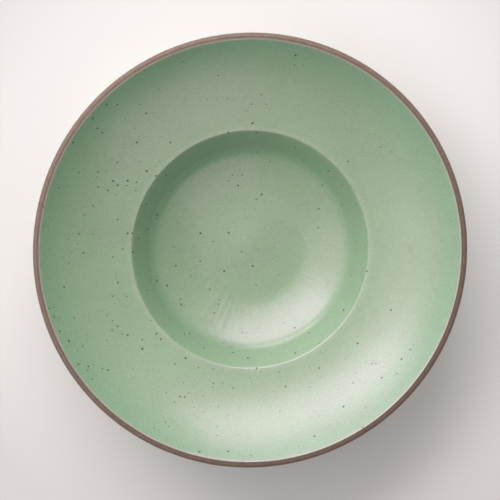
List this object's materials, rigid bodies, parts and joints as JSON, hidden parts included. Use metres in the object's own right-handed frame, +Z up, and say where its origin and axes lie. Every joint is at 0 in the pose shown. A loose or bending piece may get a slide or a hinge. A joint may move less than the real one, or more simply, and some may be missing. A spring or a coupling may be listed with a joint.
{
  "type": "pasta bowl",
  "caption": "Wide-rimmed stoneware pasta bowl with a deep round well, green satin glaze, brown rim band and bare foot ring.",
  "frame": {"origin": "centre of the foot ring on the surface that the bowl stands on", "axes": "+Z up along the bowl's axis of turning; the bowl is round, so +X and +Y are alike"},
  "size_m": [0.28, 0.28, 0.0623],
  "materials": {
    "stoneware": "bare fired stoneware, brown, fine grog, dull",
    "face_glaze": "satin celadon green glaze with small dark iron specks",
    "back_glaze": "the same satin green glaze on the outside, with fewer specks",
    "rim_band": "thin brown iron band, dull, darker where it meets the glaze"
  },
  "bodies": {
    "root": {"clay_body": "stoneware", "face_glaze": "face_glaze", "back_glaze": "back_glaze", "foot_recess_glaze": "back_glaze", "rim_band": "rim_band"}
  },
  "joints": []
}
